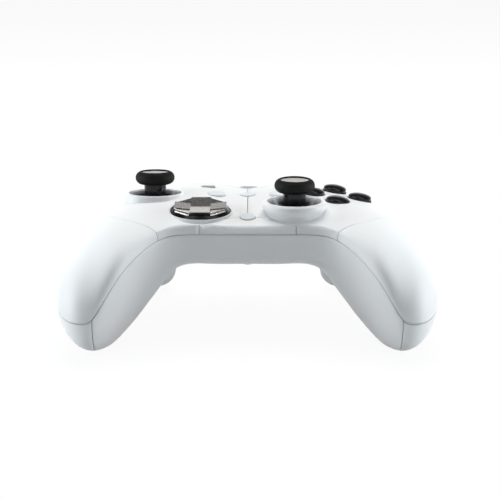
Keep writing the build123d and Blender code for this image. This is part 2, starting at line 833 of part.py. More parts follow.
# Sticks: cap, disc, stem with its dome, saddle, yoke and module housing
for side_name, top in stick_planes.items():
    axis = Axis(top.origin, top.z_dir)
    profile_plane = Plane(top.origin, x_dir=top.x_dir, z_dir=-top.y_dir)
    pivot = top.offset(-stick_pivot_depth)
    cap_low = cap_top - cap_thickness
    middle = cap_top - cap_thickness / 2

    with BuildPart() as stick_cap:
        with BuildSketch(profile_plane):
            with BuildLine():
                Line((0, cap_low + cap_lip), (stem_radius, cap_low + cap_lip))
                Line((stem_radius, cap_low + cap_lip), (stem_radius, cap_low))
                Line((stem_radius, cap_low), (stem_radius + cap_shoulder, cap_low))
                ThreePointArc(
                    (stem_radius + cap_shoulder, cap_low),
                    (cap_radius, middle),
                    (cap_disc_radius + cap_rim, cap_top),
                )
                Polyline(
                    (cap_disc_radius + cap_rim, cap_top),
                    (cap_disc_radius, cap_top - cap_disc_recess),
                    (cap_disc_radius, cap_top - cap_disc_recess - cap_disc_thickness),
                    (0, cap_top - cap_disc_recess - cap_disc_thickness),
                    (0, cap_low + cap_lip),
                )
            make_face()
        revolve(axis=axis)
    finish_part(stick_cap.part, f"{side_name}_stick_cap")

    with BuildPart() as stick_disc:
        with BuildSketch(profile_plane):
            with BuildLine():
                disc_low = cap_top - cap_disc_recess - cap_disc_thickness
                ThreePointArc(
                    (0, disc_low + cap_disc_thickness / 2),
                    (cap_disc_radius / 2, disc_low + 0.6 * cap_disc_thickness),
                    (cap_disc_radius, disc_low + cap_disc_thickness),
                )
                Polyline(
                    (cap_disc_radius, disc_low + cap_disc_thickness),
                    (cap_disc_radius, disc_low),
                    (0, disc_low),
                    (0, disc_low + cap_disc_thickness / 2),
                )
            make_face()
        revolve(axis=axis)
    finish_part(stick_disc.part, f"{side_name}_stick_disc")

    with BuildPart() as stick_stem:
        with BuildSketch(profile_plane):
            with BuildLine():
                centre = -stick_pivot_depth
                top_join = centre + math.sqrt(dome_radius**2 - stem_flare**2)
                dome_edge = centre + dome_reach
                outer_edge = math.sqrt(dome_radius**2 - dome_reach**2)
                inner_radius = dome_radius - dome_wall
                inner_edge = math.sqrt(inner_radius**2 - dome_reach**2)
                Polyline((0, cap_low + cap_lip), (stem_radius, cap_low + cap_lip))
                Line((stem_radius, cap_low + cap_lip), (stem_radius, stem_neck))
                Spline(
                    (stem_radius, stem_neck),
                    (stem_flare, top_join),
                    tangents=[(0, -1), (stem_flare, -stem_flare**2 / (top_join - centre))],
                )
                RadiusArc((stem_flare, top_join), (outer_edge, dome_edge), dome_radius)
                Line((outer_edge, dome_edge), (inner_edge, dome_edge))
                RadiusArc(
                    (inner_edge, dome_edge),
                    (shaft_radius, centre + math.sqrt(inner_radius**2 - shaft_radius**2)),
                    -inner_radius,
                )
                Polyline(
                    (shaft_radius, centre + math.sqrt(inner_radius**2 - shaft_radius**2)),
                    (shaft_radius, centre - saddle_side / 2),
                    (0, centre - saddle_side / 2),
                    (0, cap_low + cap_lip),
                )
            make_face()
        revolve(axis=axis)
    finish_part(stick_stem.part, f"{side_name}_stick_stem")

    with BuildPart() as saddle:
        with BuildSketch(pivot.offset(-saddle_side / 2)):
            Rectangle(saddle_side, saddle_side)
            Circle(shaft_radius + run_clearance, mode=Mode.SUBTRACT)
        extrude(amount=saddle_side)
        across = side_plane(top, stick_pivot_depth, along_x=False)
        for way in (-1, 1):
            with BuildSketch(across.offset(way * saddle_side / 2)):
                Circle(axle_radius)
            extrude(amount=way * (yoke_side - saddle_side) / 2)
    finish_part(saddle.part, f"{side_name}_stick_saddle")

    with BuildPart() as yoke:
        with BuildSketch(pivot.offset(-yoke_thickness / 2)):
            Rectangle(yoke_side, yoke_side)
            Rectangle(yoke_side - 2 * yoke_wall, yoke_side - 2 * yoke_wall, mode=Mode.SUBTRACT)
        extrude(amount=yoke_thickness)
        across = side_plane(top, stick_pivot_depth, along_x=False)
        with BuildSketch(across):
            Circle(axle_radius + run_clearance)
        extrude(amount=yoke_side, both=True, mode=Mode.SUBTRACT)
        along = side_plane(top, stick_pivot_depth, along_x=True)
        for way in (-1, 1):
            with BuildSketch(along.offset(way * yoke_side / 2)):
                Circle(axle_radius)
            extrude(amount=way * (module_side - yoke_side) / 2)
    finish_part(yoke.part, f"{side_name}_stick_yoke")

    with BuildPart() as module:
        with BuildSketch(pivot.offset(module_top)):
            Rectangle(module_side, module_side)
        extrude(amount=-(module_top + module_depth))
        with BuildSketch(pivot.offset(module_top)):
            Rectangle(module_side - 2 * module_wall, module_side - 2 * module_wall)
        extrude(amount=-(module_top + module_depth - module_wall), mode=Mode.SUBTRACT)
        along = side_plane(top, stick_pivot_depth, along_x=True)
        with BuildSketch(along):
            Circle(axle_radius + run_clearance)
        extrude(amount=module_side, both=True, mode=Mode.SUBTRACT)
    finish_part(module.part, f"{side_name}_stick_module")

    with BuildPart() as well_ring:
        with BuildSketch(profile_plane):
            with BuildLine():
                Polyline(
                    (well_radius - well_fit, -well_top_drop),
                    (well_radius - well_fit, -well_depth),
                    (well_throat, -well_depth),
                    (well_radius - well_fit - well_lip, -well_top_drop),
                    close=True,
                )
            make_face()
        revolve(axis=axis)
    finish_part(well_ring.part, f"{side_name}_stick_well")

# Direction pad: black base, faceted dish and the rocker that lets it tilt both ways
pad_axis = Axis(pad_plane.origin, pad_plane.z_dir)
pad_profile = Plane(pad_plane.origin, x_dir=pad_plane.x_dir, z_dir=-pad_plane.y_dir)

with BuildPart() as pad_base:
    with BuildSketch(pad_profile):
        with BuildLine():
            Polyline(
                (0, pad_base_top),
                (pad_base_ring, pad_base_top),
                (pad_base_radius, pad_base_edge),
                (pad_base_radius, -pad_base_depth),
                (0, -pad_base_depth),
                close=True,
            )
        make_face()
    revolve(axis=pad_axis)
    for way in (-1, 1):
        lug_plane = side_plane(pad_plane, pad_pivot_depth, along_x=False).offset(way * pad_rocker / 2)
        with BuildSketch(lug_plane.offset(way * run_clearance)):
            Circle(pad_lug_radius)
            with Locations((0, (pad_pivot_depth - pad_base_depth) / 2)):
                Rectangle(2 * pad_lug_radius, pad_pivot_depth - pad_base_depth)
        extrude(amount=way * pad_lug)
        with BuildSketch(lug_plane.offset(way * run_clearance)):
            Circle(axle_radius)
        extrude(amount=-way * pad_stub)
finish_part(pad_base.part, "dpad_base")

with BuildPart() as pad_dish:
    with BuildSketch(pad_plane.offset(pad_base_top)):
        RegularPolygon(pad_dish_radius, 8, major_radius=False, rotation=pad_dish_turn)
    extrude(amount=pad_dish_thickness)
    with BuildSketch(pad_plane.offset(pad_base_top + pad_dish_thickness)):
        Circle(pad_dish_radius - pad_dish_rim)
    extrude(amount=-(pad_dish_thickness - pad_dish_floor), taper=pad_dish_taper, mode=Mode.SUBTRACT)
    with BuildSketch(pad_plane.offset(pad_base_top + pad_dish_floor)):
        Rectangle(2 * pad_dish_radius, pad_arm)
        Rectangle(pad_arm, 2 * pad_dish_radius)
        Circle(pad_dish_radius - pad_dish_rim / 2, mode=Mode.INTERSECT)
    extrude(amount=pad_arm_rise)
finish_part(pad_dish.part, "dpad_dish")

with BuildPart() as pad_rocker_block:
    rocker_plane = pad_plane.offset(-pad_pivot_depth)
    with BuildSketch(rocker_plane.offset(-pad_rocker_height / 2)):
        Rectangle(pad_rocker, pad_rocker)
    extrude(amount=pad_rocker_height)
    with BuildSketch(side_plane(pad_plane, pad_pivot_depth, along_x=False)):
        Circle(axle_radius + run_clearance)
    extrude(amount=pad_rocker, both=True, mode=Mode.SUBTRACT)
    for way in (-1, 1):
        with BuildSketch(side_plane(pad_plane, pad_pivot_depth, along_x=True).offset(way * pad_rocker / 2)):
            Circle(axle_radius)
        extrude(amount=way * (pad_post + 2 * pad_post_gap))
finish_part(pad_rocker_block.part, "dpad_rocker")

with BuildPart() as pad_posts:
    for way in (-1, 1):
        post_x = way * (pad_rocker / 2 + pad_post_gap + pad_post / 2)
        with BuildSketch(pad_plane.offset(-pad_pivot_depth + pad_post_head)):
            with Locations((post_x, 0)):
                Rectangle(pad_post, pad_post_width)
        extrude(amount=-overrun)
    split(bisect_by=deck.offset(control_board_top), keep=Keep.TOP)
    with BuildSketch(side_plane(pad_plane, pad_pivot_depth, along_x=True)):
        Circle(axle_radius + run_clearance)
    extrude(amount=overrun, both=True, mode=Mode.SUBTRACT)
finish_part(pad_posts.part, "dpad_posts")

# Face buttons
for name, spot in face_spots.items():
    spot_plane = Plane(cluster_plane.location * Location((*spot, 0)))
    axis = Axis(spot_plane.origin, spot_plane.z_dir)
    profile_plane = Plane(spot_plane.origin, x_dir=spot_plane.x_dir, z_dir=-spot_plane.y_dir)
    with BuildPart() as face_button:
        with BuildSketch(profile_plane):
            with BuildLine():
                ThreePointArc(
                    (0, face_cap_top),
                    (face_cap_radius / 2, face_cap_top - face_dome / 4),
                    (face_cap_radius - face_edge, face_cap_top - face_dome),
                )
                Polyline(
                    (face_cap_radius - face_edge, face_cap_top - face_dome),
                    (face_cap_radius, face_cap_top - face_dome - face_edge),
                    (face_cap_radius, face_skirt_top),
                    (face_skirt_radius, face_skirt_top - face_edge / 2),
                    (face_skirt_radius, -face_flange_depth),
                    (face_flange_radius, -face_flange_depth),
                    (face_flange_radius, -face_flange_depth - face_flange),
                    (face_stem_radius, -face_flange_depth - face_flange),
                    (face_stem_radius, -face_stem_depth),
                    (0, -face_stem_depth),
                    (0, face_cap_top),
                )
            make_face()
        revolve(axis=axis)
    finish_part(face_button.part, f"face_button_{name}")

# Small white buttons of the deck
for name, plane in small_planes.items():
    radius = small_radii[name]
    with BuildPart() as small_button:
        with BuildSketch(plane.offset(small_rise)):
            Circle(radius)
        extrude(amount=-small_height)
        fillet(small_button.edges().group_by(Axis(plane.origin, plane.z_dir))[-1], small_round)
        with BuildSketch(plane.offset(small_rise - small_height)):
            Circle(small_stem_radius)
        extrude(amount=-small_stem)
    finish_part(small_button.part, name)

with BuildPart() as home_button:
    with BuildSketch(home_plane.offset(home_rise)):
        Circle(home_radius)
    extrude(amount=-home_height)
    fillet(home_button.edges().group_by(Axis(home_plane.origin, home_plane.z_dir))[-1], small_round)
    with BuildSketch(home_plane.offset(home_rise - home_height)):
        Circle(small_stem_radius)
    extrude(amount=-small_stem)
finish_part(home_button.part, "home_button")

with BuildPart() as profile_key:
    with BuildSketch(key_plane.offset(key_rise)):
        Rectangle(key_width, key_depth)
    extrude(amount=-key_height)
    fillet(profile_key.edges().group_by(Axis(key_plane.origin, key_plane.z_dir))[-1], small_round)
finish_part(profile_key.part, "profile_key")

# Boards, mid frame and battery
def inside(part):
    """What of a part lies inside the body, clear of the walls."""
    with BuildPart() as kept:
        add(part)
        add(inner_space, mode=Mode.INTERSECT)
    return kept.part


inner_space = body_half("lower", inset=inner_margin, reach=2 * overrun, left_out=2)


def deck_slab(level, thickness, front, back, half):
    """A level slab in the deck frame."""
    with BuildPart() as slab:
        with BuildSketch(deck.offset(level)):
            with Locations((0, (front + back) / 2)):
                Rectangle(2 * half, back - front)
        extrude(amount=-thickness)
    return slab.part


with BuildPart() as mid_frame:
    frame_top = main_board_top - board_thickness
    add(inside(deck_slab(frame_top, frame_thickness, frame_front, bracket_front, frame_half_width)))
    add(inside(deck_slab(frame_top, frame_thickness, 0, frame_back, frame_middle)))
    for shares in post_place_shares:
        add(rod(deck_plane(*place(shares), frame_top), post_radius, 0, post_height))
    for shares in screw_place_shares:
        add(rod(deck_plane(*place(shares), frame_top), ear_radius, -frame_thickness, frame_thickness))
        with BuildSketch(deck_plane(*place(shares), frame_top)):
            Circle(screw_radius)
        extrude(amount=overrun, both=True, mode=Mode.SUBTRACT)
finish_part(mid_frame.part, "mid_frame")

with BuildPart() as main_board:
    add(inside(deck_slab(main_board_top, board_thickness, frame_front, bracket_front, board_half_width)))
    add(inside(deck_slab(main_board_top, board_thickness, 0, board_back, frame_middle)))
    for shares in post_place_shares:
        with BuildSketch(deck_plane(*place(shares), main_board_top)):
            Circle(post_radius)
        extrude(amount=overrun, both=True, mode=Mode.SUBTRACT)
finish_part(main_board.part, "main_board")

with BuildPart() as control_board:
    board = deck_slab(control_board_top, board_thickness, control_front, control_back, control_half_width)
    add(inside(board))
    for top in stick_planes.values():
        with BuildSketch(top):
            Circle(dome_radius + dome_clearance)
        extrude(amount=3 * overrun, both=True, mode=Mode.SUBTRACT)
    with BuildSketch(deck.offset(control_board_top)):
        with Locations((-half_width + left_x, left_v)):
            Rectangle(2 * half_width, 2 * grip_reach)
    extrude(amount=overrun, both=True, mode=Mode.SUBTRACT)
finish_part(control_board.part, "control_board")

with BuildPart() as battery:
    with BuildSketch(deck_plane(*battery_place, main_board_top)):
        RectangleRounded(battery_width, battery_depth, battery_round)
    extrude(amount=battery_thickness)
finish_part(battery.part, "battery")

with BuildPart() as charging_socket:
    with BuildSketch(socket_plane):
        RectangleRounded(socket_width, socket_height, socket_height / 2 - run_clearance)
        RectangleRounded(
            socket_width - 2 * socket_wall,
            socket_height - 2 * socket_wall,
            socket_height / 2 - socket_wall - run_clearance,
            mode=Mode.SUBTRACT,
        )
    extrude(amount=-socket_depth)
    with BuildSketch(socket_plane.offset(-socket_depth)):
        RectangleRounded(socket_width, socket_height, socket_height / 2 - run_clearance)
    extrude(amount=socket_wall)
    with BuildSketch(socket_plane.offset(-socket_depth)):
        Rectangle(socket_blade_width, socket_blade)
    extrude(amount=socket_depth - socket_blade)
finish_part(charging_socket.part, "charging_socket")

with BuildPart() as button_pads:
    for spot in face_spots.values():
        spot_plane = Plane(cluster_plane.location * Location((*spot, 0)))
        with BuildSketch(spot_plane.offset(-face_stem_depth - face_travel - run_clearance)):
            Circle(rubber_radius)
        extrude(amount=-overrun)
    split(bisect_by=deck.offset(control_board_top), keep=Keep.TOP)
finish_part(button_pads.part, "button_pads")

with BuildPart() as shell_screws:
    for shares in screw_place_shares:
        add(rod(deck_plane(*place(shares), screw_seat), screw_head_radius, -screw_head, screw_head))
        shank = main_board_top - board_thickness - screw_seat
        add(rod(deck_plane(*place(shares), screw_seat), screw_radius, 0, shank))
finish_part(shell_screws.part, "shell_screws")

# Rumble motors with their eccentric weights, triggers with their axles, brackets and springs
for side, side_name in side_names.items():
    outward = Plane(
        origin=deck.from_local_coords((side * motor_x, motor_v, motor_w)),
        x_dir=deck.y_dir,
        z_dir=side * deck.x_dir,
    )
    with BuildPart() as motor:
        with BuildSketch(outward.offset(-motor_length / 2)):
            Circle(motor_radius)
            Circle(motor_shaft_radius + run_clearance, mode=Mode.SUBTRACT)
        extrude(amount=motor_length)
    finish_part(motor.part, f"{side_name}_rumble_motor")

    with BuildPart() as weight:
        with BuildSketch(outward.offset(-motor_length / 2)):
            Circle(motor_shaft_radius)
        extrude(amount=motor_length + weight_gap + weight_thickness)
        with BuildSketch(outward.offset(motor_length / 2 + weight_gap)):
            Circle(weight_radius)
            with Locations((0, weight_radius)):
                Rectangle(3 * weight_radius, 2 * weight_radius, mode=Mode.SUBTRACT)
            Circle(2 * motor_shaft_radius)
        extrude(amount=weight_thickness)
    finish_part(weight.part, f"{side_name}_rumble_weight")

    pivot_v, pivot_w = trigger_pivot
    with BuildPart() as pocket:
        with BuildSketch(slice_plane(side * trigger_inner)):
            with BuildLine():
                Polyline(*pocket_back, *pocket_front, *pocket_mouth, close=True)
            make_face()
        extrude(amount=side * (trigger_outer - trigger_inner))
        add(trigger_front_outline(side, trigger_wall), mode=Mode.INTERSECT)

    with BuildPart() as trigger:
        with BuildSketch(slice_plane(side * trigger_inner)):
            with BuildLine():
                Spline(*trigger_back_face)
                Polyline(trigger_back_face[-1], trigger_front_face[0])
                Spline(*trigger_front_face)
                Polyline(trigger_front_face[-1], *trigger_hook, trigger_back_face[0])
            make_face()
        extrude(amount=side * (trigger_outer - trigger_inner))
        add(trigger_front_outline(side), mode=Mode.INTERSECT)
        add(pocket.part, mode=Mode.SUBTRACT)
        with BuildSketch(slice_plane(side * trigger_hub[0])):
            with Locations((pivot_v, pivot_w)):
                Circle(trigger_hub_radius)
            with Locations((pivot_v + trigger_arm_length / 2, pivot_w)):
                Rectangle(trigger_arm_length, trigger_arm_height)
        extrude(amount=side * (trigger_hub[1] - trigger_hub[0]))
        with BuildSketch(slice_plane(0)):
            with Locations((pivot_v, pivot_w)):
                Circle(trigger_axle_radius + run_clearance)
        extrude(amount=side * half_width, mode=Mode.SUBTRACT)
    finish_part(trigger.part, f"{side_name}_trigger")

    with BuildPart() as axle:
        with BuildSketch(slice_plane(side * bracket_sides[0])):
            with Locations((pivot_v, pivot_w)):
                Circle(trigger_axle_radius)
        extrude(amount=side * (bracket_sides[1] + bracket_plate - bracket_sides[0]))
    finish_part(axle.part, f"{side_name}_trigger_axle")

    with BuildPart() as bracket:
        for bracket_side in bracket_sides:
            with BuildSketch(slice_plane(side * bracket_side)):
                with BuildLine():
                    Polyline(
                        (bracket_front, bracket_top),
                        (pivot_v + spring_radius, bracket_top),
                        (pivot_v + spring_radius, bracket_bottom),
                        (bracket_front, bracket_bottom),
                        close=True,
                    )
                make_face()
            extrude(amount=side * bracket_plate)
        with BuildSketch(slice_plane(side * bracket_sides[0])):
            with BuildLine():
                Polyline(
                    (bracket_front, bracket_top),
                    (bracket_front + bracket_web, bracket_top),
                    (bracket_front + bracket_web, bracket_bottom),
                    (bracket_front, bracket_bottom),
                    close=True,
                )
            make_face()
        extrude(amount=side * (bracket_sides[1] - bracket_sides[0]))
        with BuildSketch(slice_plane(0)):
            with Locations((pivot_v, pivot_w)):
                Circle(trigger_axle_radius)
        extrude(amount=side * half_width, mode=Mode.SUBTRACT)
    finish_part(bracket.part, f"{side_name}_trigger_bracket")

    spring_start = trigger_hub[1] + run_clearance
    spring_length = bracket_sides[1] - run_clearance - spring_start
    with BuildPart() as spring:
        with BuildSketch(slice_plane(side * spring_start)):
            with Locations((pivot_v, pivot_w)):
                Circle(spring_radius)
                Circle(spring_radius - spring_wire, mode=Mode.SUBTRACT)
        extrude(amount=side * spring_length)
    finish_part(spring.part, f"{side_name}_trigger_spring")
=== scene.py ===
"""Looks of a two-handed gamepad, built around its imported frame, in metres and in the part's frame."""

import json
import math

import bmesh
import bpy
from mathutils import Matrix, Vector


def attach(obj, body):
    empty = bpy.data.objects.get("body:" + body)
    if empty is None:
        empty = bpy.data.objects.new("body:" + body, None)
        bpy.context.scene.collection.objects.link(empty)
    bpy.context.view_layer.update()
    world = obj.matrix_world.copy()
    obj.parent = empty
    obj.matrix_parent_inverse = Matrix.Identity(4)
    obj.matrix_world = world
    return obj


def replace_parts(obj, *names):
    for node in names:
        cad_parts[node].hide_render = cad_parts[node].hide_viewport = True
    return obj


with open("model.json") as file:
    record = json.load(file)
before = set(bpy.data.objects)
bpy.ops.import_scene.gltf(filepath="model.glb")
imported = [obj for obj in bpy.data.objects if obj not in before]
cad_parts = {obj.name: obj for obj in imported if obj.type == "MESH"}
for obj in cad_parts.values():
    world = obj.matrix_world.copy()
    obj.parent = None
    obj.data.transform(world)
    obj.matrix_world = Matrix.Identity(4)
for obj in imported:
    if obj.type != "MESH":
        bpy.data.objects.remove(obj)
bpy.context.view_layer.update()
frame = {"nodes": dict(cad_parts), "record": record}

MM = 0.001

# The deck frame of the part: x right, v away from the player, w out of the deck, in millimetres
DECK_TILT = math.radians(4.3)
DECK_BACK = 10.47
DECK_HEIGHT = 50.402

# The camera, as the photograph shows the deck
CAMERA_PLACE = (0.96, -553.87, 85.63)
CAMERA_DOWN = math.radians(11.1)
CAMERA_LENS = 95.33
CAMERA_SENSOR = 36.0

# The direction pad's plane
PAD_PLACE = (-19.6, -11.0, -4.4)
PAD_LEAN = 7.4


def deck_matrix(x, v, w, lean=0.0):
    """From a plane at a deck place, leaned towards the player, to the part in metres."""
    deck = Matrix.Translation((0, DECK_BACK, DECK_HEIGHT)) @ Matrix.Rotation(-DECK_TILT, 4, "X")
    turn = Matrix.Rotation(math.radians(lean), 4, "X")
    return Matrix.Scale(MM, 4) @ deck @ Matrix.Translation((x, v, w)) @ turn


# Materials
class Surface:
    """A material's node tree with the few helpers that every surface here uses."""

    def __init__(self, name):
        self.material = bpy.data.materials.new(name)
        self.material.use_nodes = True
        self.tree = self.material.node_tree
        self.shader = self.tree.nodes["Principled BSDF"]
        coordinates = self.tree.nodes.new("ShaderNodeTexCoord")
        self.place = coordinates.outputs["Object"]

    def node(self, kind, **values):
        """A new node with some of its settings."""
        made = self.tree.nodes.new(kind)
        for key, value in values.items():
            setattr(made, key, value)
        return made

    def link(self, output, socket):
        self.tree.links.new(output, socket)

    def noise(self, size, detail=2.0, roughness=0.5, stretch=(1, 1, 1)):
        """Noise whose features are about size metres wide."""
        mapping = self.node("ShaderNodeMapping")
        mapping.inputs["Scale"].default_value = stretch
        self.link(self.place, mapping.inputs["Vector"])
        made = self.node("ShaderNodeTexNoise")
        made.inputs["Scale"].default_value = 1 / size
        made.inputs["Detail"].default_value = detail
        made.inputs["Roughness"].default_value = roughness
        self.link(mapping.outputs["Vector"], made.inputs["Vector"])
        return made.outputs["Fac"]

    def ranged(self, value, low, high, start=0.3, end=0.7):
        """A value between low and high that follows another one."""
        made = self.node("ShaderNodeMapRange")
        made.inputs["From Min"].default_value = start
        made.inputs["From Max"].default_value = end
        made.inputs["To Min"].default_value = low
        made.inputs["To Max"].default_value = high
        self.link(value, made.inputs["Value"])
        return made.outputs["Result"]

    def mixed(self, factor, first, second):
        """A colour between two, by a factor."""
        made = self.node("ShaderNodeMix", data_type="RGBA")
        made.inputs[6].default_value = (*first, 1)
        made.inputs[7].default_value = (*second, 1)
        self.link(factor, made.inputs[0])
        return made.outputs[2]

    def tint(self, value, dark, light):
        """The base colour, from dark to light as a value grows."""
        self.link(self.mixed(self.ranged(value, 0, 1), dark, light), self.shader.inputs["Base Color"])

    def bump(self, height, depth, strength=1.0):
        """A bump whose full height is depth metres."""
        made = self.node("ShaderNodeBump")
        made.inputs["Distance"].default_value = depth
        made.inputs["Strength"].default_value = strength
        self.link(height, made.inputs["Height"])
        self.link(made.outputs["Normal"], self.shader.inputs["Normal"])

    def finish(self, **values):
        """Plain values on the shader's own sockets."""
        for key, value in values.items():
            self.shader.inputs[key.replace("_", " ")].default_value = value
        return self.material


def moulded(name, light, dark, rough, grain, depth):
    """Moulded plastic: a fine spark-eroded grain, faint flow shading and uneven gloss."""
    surface = Surface(name)
    cloud = surface.noise(0.030, detail=3)
    surface.tint(cloud, dark, light)
    fine = surface.noise(grain, detail=2, roughness=0.6)
    gloss = surface.ranged(fine, rough - 0.05, rough + 0.05)
    surface.link(gloss, surface.shader.inputs["Roughness"])
    surface.bump(fine, depth)
    return surface.finish(IOR=1.49)


def polished(name, light, dark, rough):
    """Polished plastic with faint haze and hairline wear."""
    surface = Surface(name)
    haze = surface.noise(0.006, detail=4)
    surface.tint(haze, dark, light)
    hair = surface.noise(0.0005, detail=3, stretch=(0.15, 1, 1))
    surface.link(surface.ranged(hair, rough * 0.6, rough * 1.8), surface.shader.inputs["Roughness"])
    surface.bump(haze, 0.00001, strength=0.2)
    return surface.finish(IOR=1.5, Specular_IOR_Level=0.30)


def rubber(name, light, dark):
    """Matte moulded rubber with a fine pebble."""
    surface = Surface(name)
    cloud = surface.noise(0.004, detail=3)
    surface.tint(cloud, dark, light)
    pebble = surface.noise(0.00022, detail=2, roughness=0.6)
    surface.link(surface.ranged(pebble, 0.55, 0.75), surface.shader.inputs["Roughness"])
    surface.bump(pebble, 0.00003)
    return surface.finish(IOR=1.5, Specular_IOR_Level=0.15)


def metal(name, light, dark, rough, stretch, grain=0.0006, metallic=1.0):
    """Metal with brushed or satin grain."""
    surface = Surface(name)
    grainy = surface.noise(grain, detail=3, stretch=stretch)
    surface.tint(grainy, dark, light)
    surface.link(surface.ranged(grainy, rough - 0.06, rough + 0.08), surface.shader.inputs["Roughness"])
    surface.bump(grainy, 0.000008, strength=0.4)
    return surface.finish(Metallic=metallic)


def shaded_bowl(name, light, dark):
    """Moulded plastic with painted shade: light at its upper edge and dark below, by the node's own height."""
    surface = Surface(name)
    height = surface.node("ShaderNodeSeparateXYZ")
    coordinates = surface.node("ShaderNodeTexCoord")
    surface.link(coordinates.outputs["Generated"], height.inputs[0])
    # Painted shade: the colour darkens towards the bottom of the well, where shade falls.
    shade = surface.ranged(height.outputs["Z"], 0, 1, start=0.45, end=0.95)
    surface.link(surface.mixed(shade, dark, light), surface.shader.inputs["Base Color"])
    fine = surface.noise(0.0003)
    surface.link(surface.ranged(fine, 0.18, 0.26), surface.shader.inputs["Roughness"])
    surface.bump(fine, 0.000006)
    return surface.finish(IOR=1.49)


MATERIALS = {
    "white_shell": moulded("white_shell", (0.86, 0.87, 0.87), (0.84, 0.85, 0.855), 0.42, 0.00030, 0.000012),
    "white_grip": moulded("white_grip", (0.84, 0.855, 0.86), (0.82, 0.84, 0.845), 0.50, 0.00045, 0.00003),
    # The buttons' darker, cooler white is painted shade that stands in for the shade on their sides.
    "white_button": moulded("white_button", (0.76, 0.80, 0.82), (0.74, 0.78, 0.80), 0.35, 0.00025, 0.000008),
    "white_trigger": moulded("white_trigger", (0.86, 0.865, 0.86), (0.84, 0.845, 0.84), 0.38, 0.00030, 0.00001),
    # This key's grey-green is painted shade: the shade on its front side, put on the whole key.
    "grey_key": moulded("grey_key", (0.40, 0.46, 0.44), (0.37, 0.43, 0.41), 0.40, 0.00025, 0.00001),
    # The well's dark lower part is painted shade.
    "grey_well": shaded_bowl("grey_well", (0.52, 0.53, 0.54), (0.012, 0.012, 0.014)),
    "dark_frame": moulded("dark_frame", (0.030, 0.030, 0.032), (0.022, 0.022, 0.024), 0.5, 0.0004, 0.00002),
    "black_gloss": polished("black_gloss", (0.010, 0.010, 0.012), (0.006, 0.006, 0.007), 0.06),
    "black_rubber": rubber("black_rubber", (0.009, 0.009, 0.009), (0.006, 0.006, 0.006)),
    "pad_rubber": rubber("pad_rubber", (0.22, 0.23, 0.24), (0.18, 0.19, 0.20)),
    "disc_metal": metal("disc_metal", (0.66, 0.64, 0.62), (0.62, 0.60, 0.58), 0.45, (1, 1, 1), metallic=0.4),
    "dish_metal": metal("dish_metal", (0.66, 0.63, 0.60), (0.61, 0.58, 0.55), 0.22, (1, 1, 1), 0.0003),
    "weight_metal": metal("weight_metal", (0.36, 0.36, 0.38), (0.28, 0.28, 0.30), 0.45, (1, 1, 1)),
    "steel": metal("steel", (0.62, 0.62, 0.64), (0.54, 0.54, 0.56), 0.30, (1, 0.1, 1)),
    "board": moulded("board", (0.02, 0.10, 0.045), (0.015, 0.08, 0.035), 0.35, 0.0006, 0.00002),
    "battery_wrap": moulded("battery_wrap", (0.05, 0.055, 0.07), (0.04, 0.045, 0.06), 0.3, 0.0005, 0.00001),
}

SLOTS = {row["node"]: row["material_slot"] for row in frame["record"]["subparts"]}


def dress(thing, slot):
    """Put a slot's material on an object."""
    if not thing.material_slots:
        thing.data.materials.append(None)
    for place in thing.material_slots:
        place.link = "OBJECT"
        place.material = MATERIALS[slot]


for name, thing in frame["nodes"].items():
    dress(thing, SLOTS[name])


ROUNDED_WIDTH = 0.2
ROUNDED = ("_grip_panel", "_faceplate", "_side_cover", "lower_shell", "front_centre_panel", "top_bridge")


def round_edges(thing, width):
    """Break a panel's sharp edges, so that its seams catch the light."""
    weld = thing.modifiers.new("weld", "WELD")
    weld.merge_threshold = 0.00001
    rounding = thing.modifiers.new("edges", "BEVEL")
    rounding.width = width * MM
    rounding.segments = 2
    rounding.limit_method = "ANGLE"
    rounding.angle_limit = math.radians(50)
    rounding.harden_normals = True


for name, thing in frame["nodes"].items():
    if name.endswith(ROUNDED):
        round_edges(thing, ROUNDED_WIDTH)


# Pieces
def add_piece(name, matrix, shape, body, slot, bevel=0.0):
    """Turn a bmesh drawn in a plane's millimetres into a piece that rides on a body."""
    mesh = bpy.data.meshes.new(name)
    bmesh.ops.recalc_face_normals(shape, faces=shape.faces)
    shape.transform(matrix)
    shape.to_mesh(mesh)
    shape.free()
    for face in mesh.polygons:
        face.use_smooth = True
    thing = bpy.data.objects.new(name, mesh)
    bpy.context.scene.collection.objects.link(thing)
    dress(thing, slot)
    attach(thing, body)
    if bevel:
        rounding = thing.modifiers.new("edges", "BEVEL")
        rounding.width = bevel * MM
        rounding.segments = 3
        rounding.limit_method = "ANGLE"
        rounding.angle_limit = math.radians(12)
        rounding.harden_normals = True
    return thing


def prism(shape, points, tops, bottoms):
    """A closed block over a polygon, each of its corners with its own top and bottom height."""
    lower = [shape.verts.new((x, y, bottom)) for (x, y), bottom in zip(points, bottoms)]
    upper = [shape.verts.new((x, y, top)) for (x, y), top in zip(points, tops)]
    count = len(points)
    shape.faces.new(upper)
    shape.faces.new(list(reversed(lower)))
    for i in range(count):
        j = (i + 1) % count
        shape.faces.new((lower[i], lower[j], upper[j], upper[i]))


def turned(points, quarter):
    """Points turned by a number of quarter turns."""
    for _ in range(quarter):
        points = [(-y, x) for x, y in points]
    return points


# The direction pad's dish, in millimetres over its plane: how far it reaches, half the width of an arm,
# its level in the middle, how much its rim rises, and how far the facets lie below the arms
DISH_REACH = 10.8
DISH_ARM = 4.15
DISH_LOW = 1.95
DISH_RISE = 1.0
DISH_START_SHARE = 0.4
DISH_STEP = 0.45
DISH_THICKNESS = 0.32
DISH_EDGE = 0.08

# The black block under the dish, and the metal strips under its facets
CORE_REACH = 10.45
CORE_UNDER = 1.2
SKIRT_REACH = (10.50, 11.05)
SKIRT_TOPS = (2.00, 1.60)
SKIRT_DEPTH = 0.5
SKIRT_HALF = 4.3
SKIRT_TAPER = 0.5


